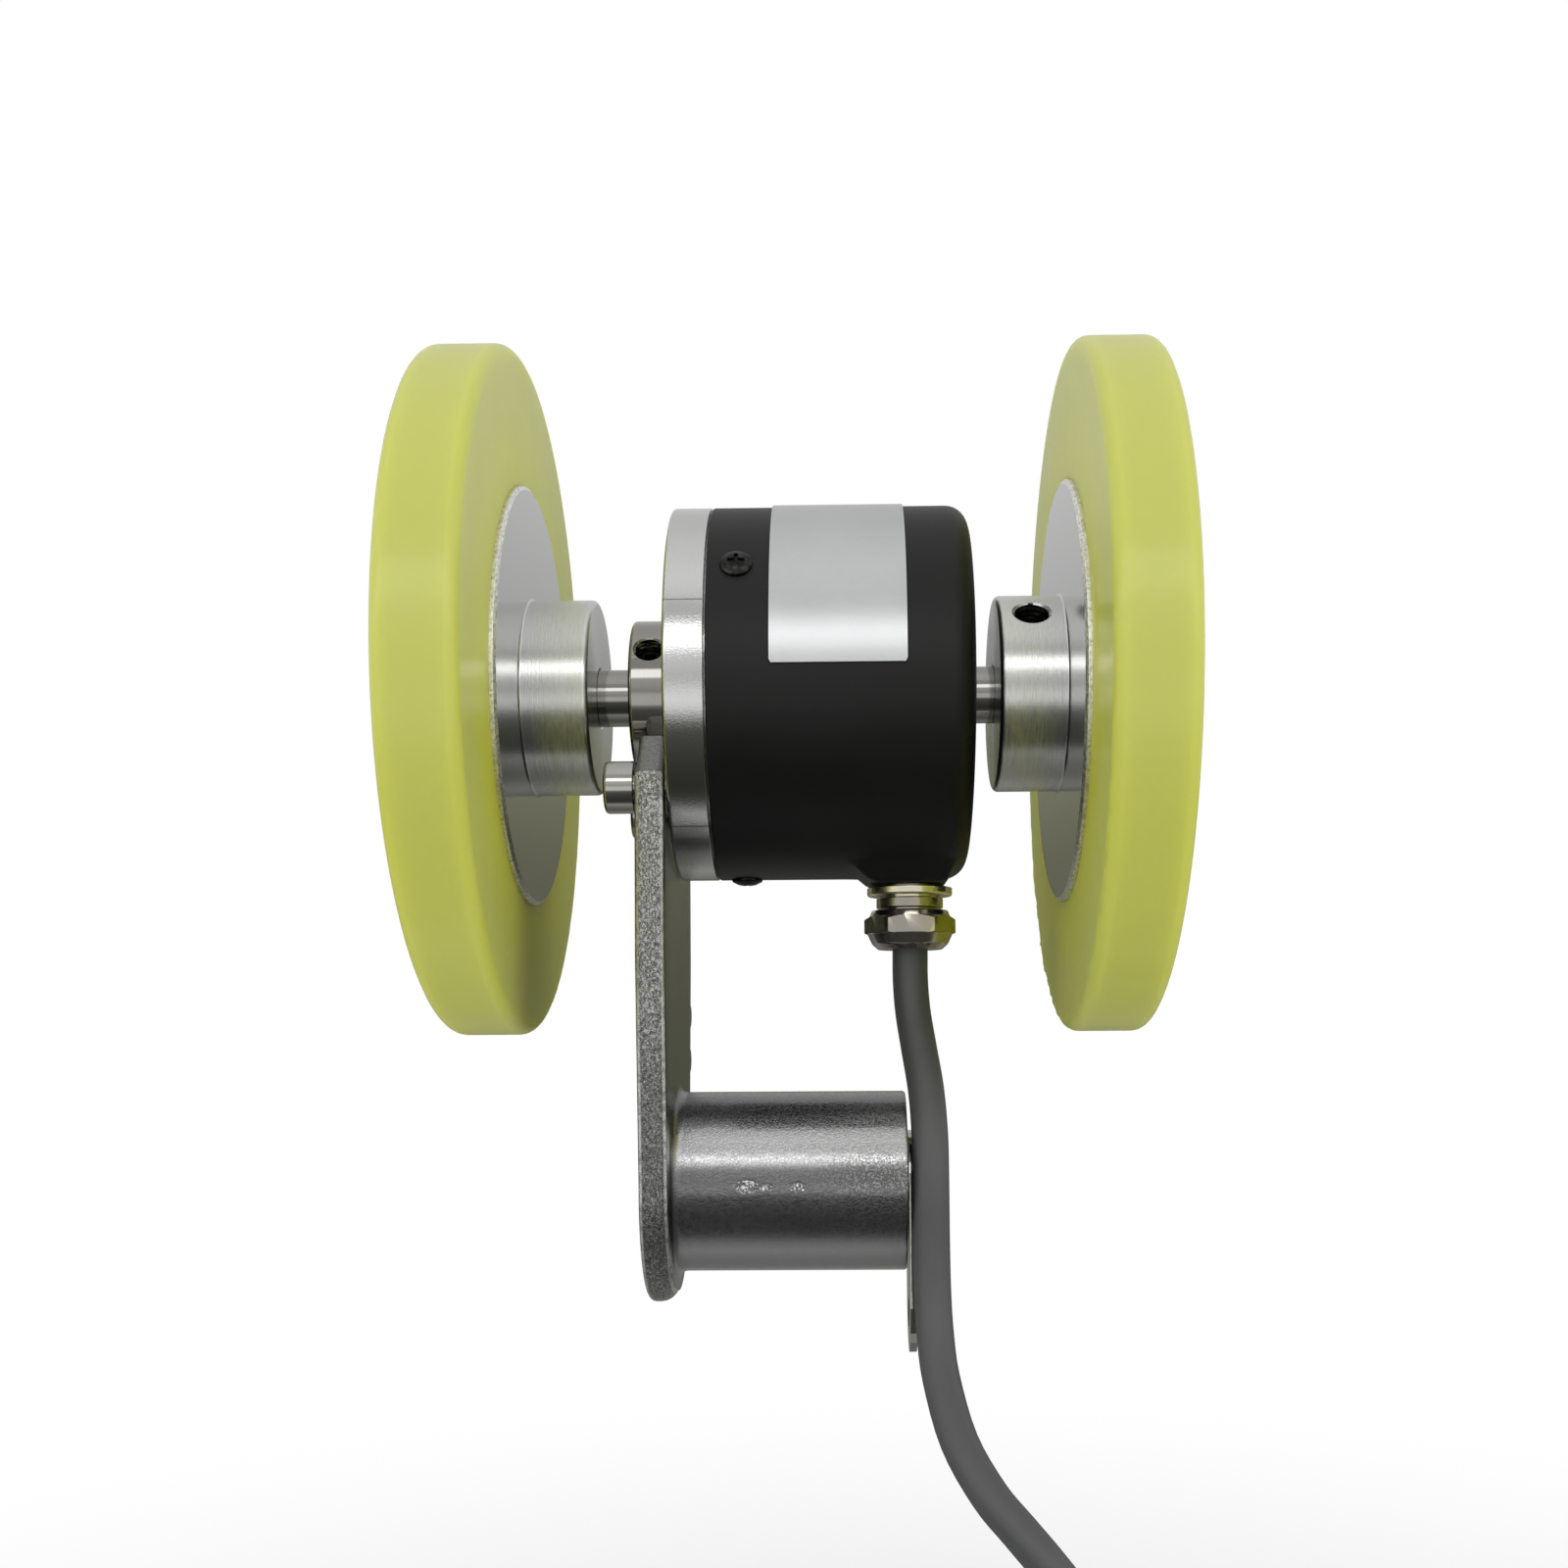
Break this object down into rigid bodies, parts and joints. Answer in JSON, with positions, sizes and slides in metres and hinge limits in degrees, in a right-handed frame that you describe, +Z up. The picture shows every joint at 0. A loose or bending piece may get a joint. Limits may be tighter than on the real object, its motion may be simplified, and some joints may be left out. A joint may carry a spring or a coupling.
{
  "type": "measuring wheel encoder",
  "caption": "Two soft-tyred measuring wheels on one shaft through a hollow-shaft rotary encoder, carried by a cast arm that swings on a sprung pivot barrel, with its cable.",
  "frame": {"origin": "middle of the pivot bolt at the face that the machine clamps", "axes": "+X along the pivot and the wheel shaft, out of the arm towards the machine; +Y away from the front; +Z up from the pivot to the wheels"},
  "size_m": [0.1785, 0.0954, 0.2072],
  "materials": {
    "turned_aluminium": "turned, satin",
    "cast_metal": "die cast, grainy and lightly polished",
    "ground_steel": "ground",
    "plated_brass": "nickel plated, bright",
    "spring_steel": "oiled",
    "black_coat": "matte black coat",
    "black_steel": "blackened",
    "silver_foil": "satin foil, blank",
    "lime_polyurethane": "cast, smooth, slightly see-through",
    "grey_pvc": "satin",
    "red_pvc": "satin",
    "black_pvc": "satin",
    "green_pvc": "satin",
    "white_pvc": "satin",
    "yellow_pvc": "satin",
    "black_rubber": "matte",
    "white_nylon": "moulded",
    "board_green": "solder mask",
    "disc_glass": "clear, with a chrome pulse track"
  },
  "bodies": {
    "pivot": {"pivot_sleeve": "ground_steel", "anchor_strip": "ground_steel", "thrust_washer": "ground_steel", "retaining_clip": "spring_steel", "torsion_spring": "spring_steel", "cable_coil": "grey_pvc", "cable_tie": "black_rubber", "core_red": "red_pvc", "core_black": "black_pvc", "core_green": "green_pvc", "core_white": "white_pvc", "core_yellow": "yellow_pvc"},
    "arm": {"arm_casting": "cast_metal", "left_bush": "white_nylon", "right_bush": "white_nylon", "arm_screw_1": "ground_steel", "arm_screw_2": "ground_steel", "encoder_flange": "turned_aluminium", "encoder_cover": "black_coat", "cover_ring": "black_rubber", "cover_screw_1": "black_steel", "cover_screw_2": "black_steel", "cover_screw_3": "black_steel", "rating_label": "silver_foil", "rear_seal": "black_rubber", "front_bearing_outer": "ground_steel", "rear_bearing_outer": "ground_steel", "sensor_board": "board_green", "disc_reader": "black_coat", "board_connector": "white_nylon", "board_standoff_1": "plated_brass", "board_standoff_2": "plated_brass", "board_standoff_3": "plated_brass", "board_screw_1": "ground_steel", "board_screw_2": "ground_steel", "board_screw_3": "ground_steel", "gland_washer": "plated_brass", "gland_body": "plated_brass", "gland_nut": "plated_brass", "gland_seal": "black_rubber", "cable_tail": "grey_pvc", "inner_leads": "grey_pvc", "cable": "grey_pvc"},
    "rotor": {"wheel_shaft": "ground_steel", "hollow_shaft": "ground_steel", "shaft_clip": "spring_steel", "collar_set_screw_1": "black_steel", "collar_set_screw_2": "black_steel", "front_bearing_inner": "ground_steel", "rear_bearing_inner": "ground_steel", "disc_hub": "turned_aluminium", "pulse_disc": "disc_glass", "left_hub": "turned_aluminium", "right_hub": "turned_aluminium", "left_tyre": "lime_polyurethane", "right_tyre": "lime_polyurethane", "hub_set_screw_1": "black_steel", "hub_set_screw_2": "black_steel"},
    "ball_sets": {"front_ball_cage": "ground_steel", "rear_ball_cage": "ground_steel"}
  },
  "joints": [
    {"name": "arm_swing", "type": "hinge", "parent": "pivot", "child": "arm", "pos_m": [0, 0, 0], "axis": [1, 0, 0], "range_deg": [0, 40], "stiffness_Nm_per_rad": 1.2, "springref_deg": -45.84, "deforming": ["torsion_spring", "cable"]},
    {"name": "wheel_spin", "type": "hinge", "parent": "arm", "child": "rotor", "pos_m": [0, 0, 0.0685], "axis": [1, 0, 0], "continuous": true},
    {"name": "cage_spin", "type": "hinge", "parent": "arm", "child": "ball_sets", "pos_m": [0, 0, 0.0685], "axis": [1, 0, 0], "continuous": true}
  ],
  "couplings": [
    {"joint": "cage_spin", "follows": "wheel_spin", "ratio": 0.43333}
  ]
}
